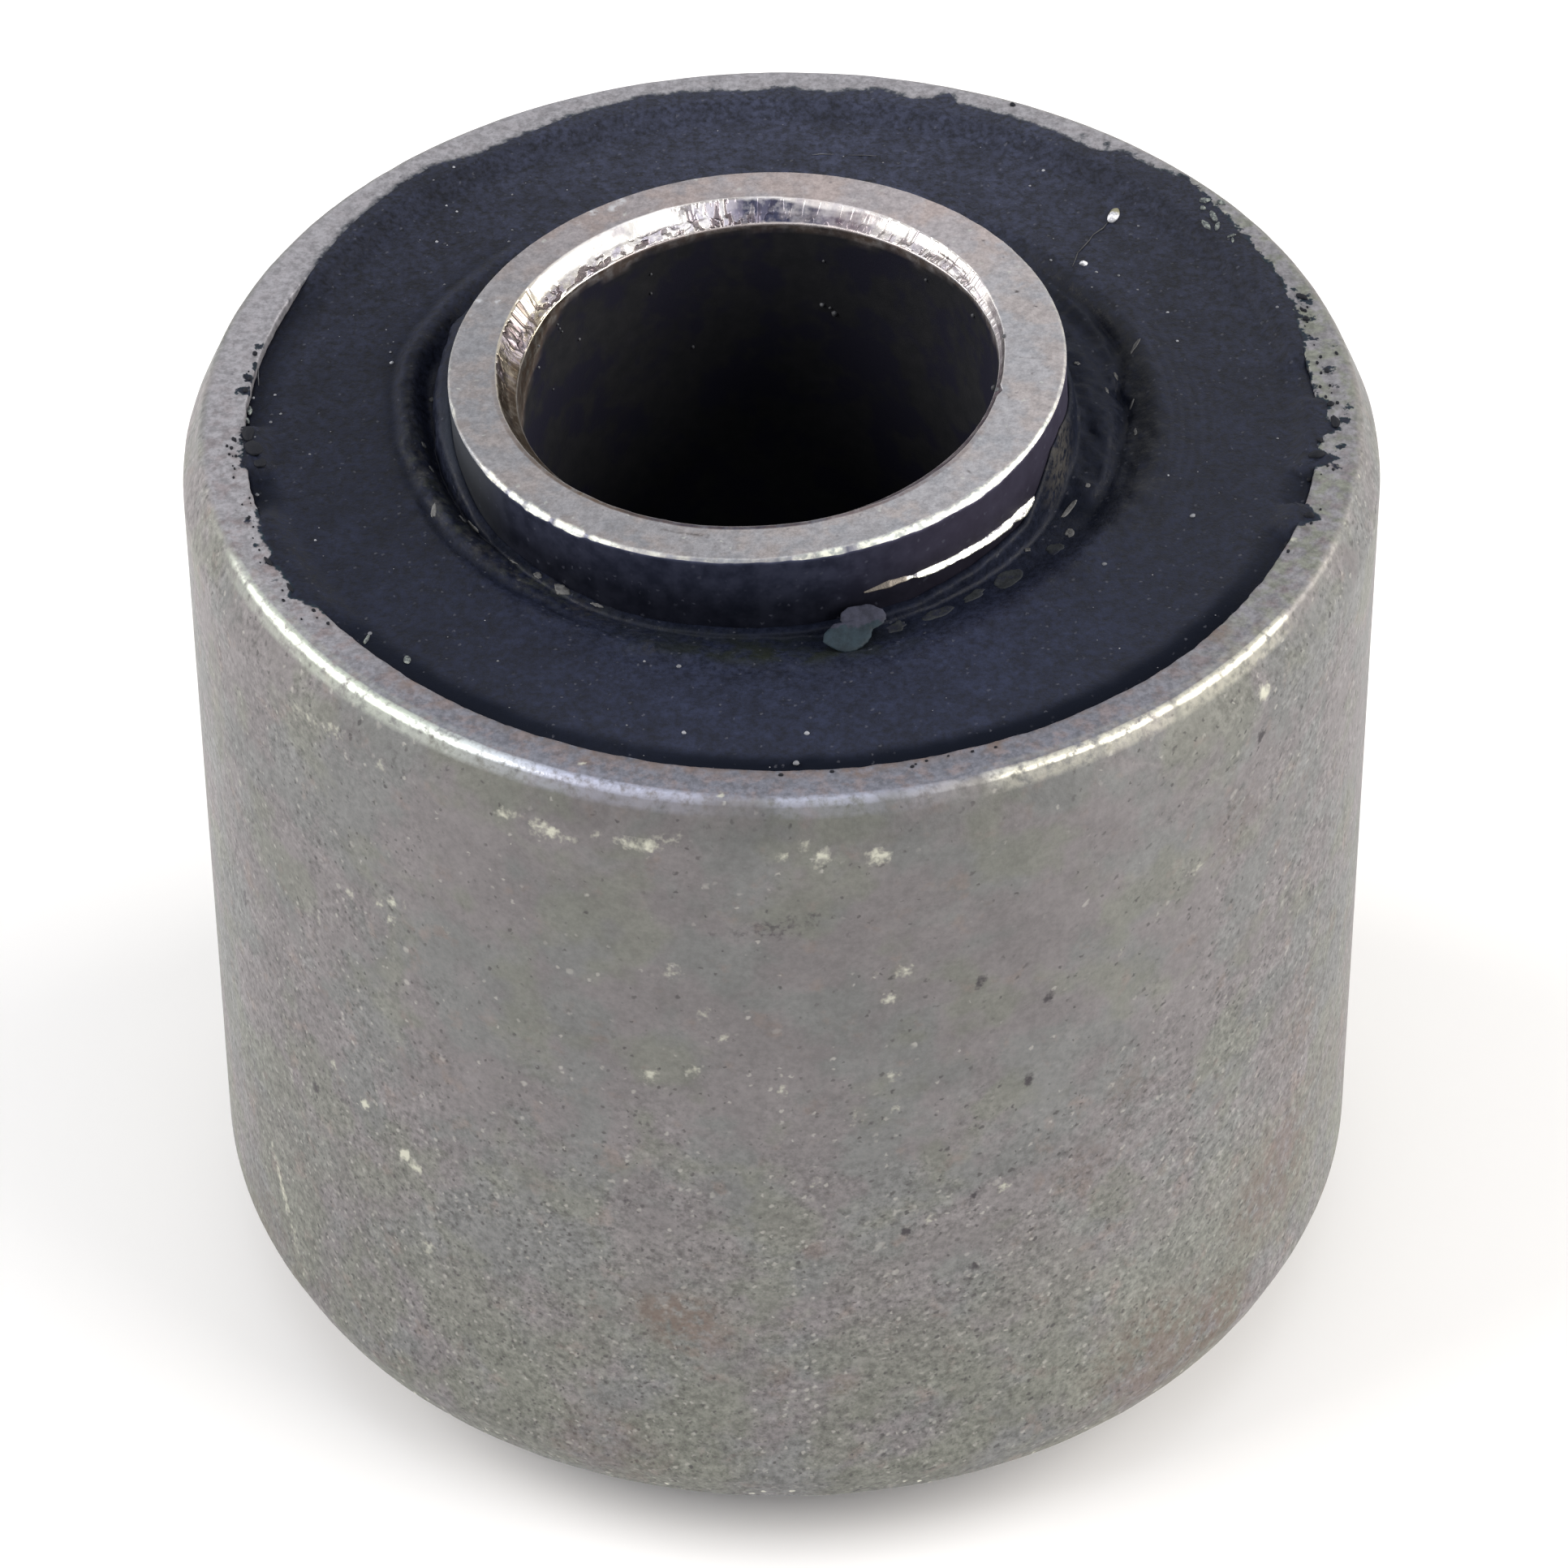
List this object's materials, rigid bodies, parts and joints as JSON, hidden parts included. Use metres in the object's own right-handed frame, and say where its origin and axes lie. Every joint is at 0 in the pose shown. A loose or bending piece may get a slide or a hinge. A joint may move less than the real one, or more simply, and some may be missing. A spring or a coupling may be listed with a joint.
{
  "type": "rubber metal bush",
  "caption": "Rubber bush bonded between an outer steel sleeve, pressed into a housing, and an inner steel tube that takes the bolt.",
  "frame": {"origin": "centre of the bush, half way along both the sleeve and the tube", "axes": "+Z along the outer sleeve; the top of the inner tube leans towards -X"},
  "size_m": [0.04, 0.04, 0.0374],
  "materials": {
    "sleeve_steel": "matte grey blasted steel with a fine speckle and faint brown stains",
    "rubber": "satin blue-black moulded rubber with dust and flash",
    "tube_steel": "machined steel, matte end and bright edges"
  },
  "bodies": {
    "root": {"outer_sleeve": "sleeve_steel", "rubber_ring": "rubber", "inner_tube": "tube_steel"}
  },
  "joints": []
}
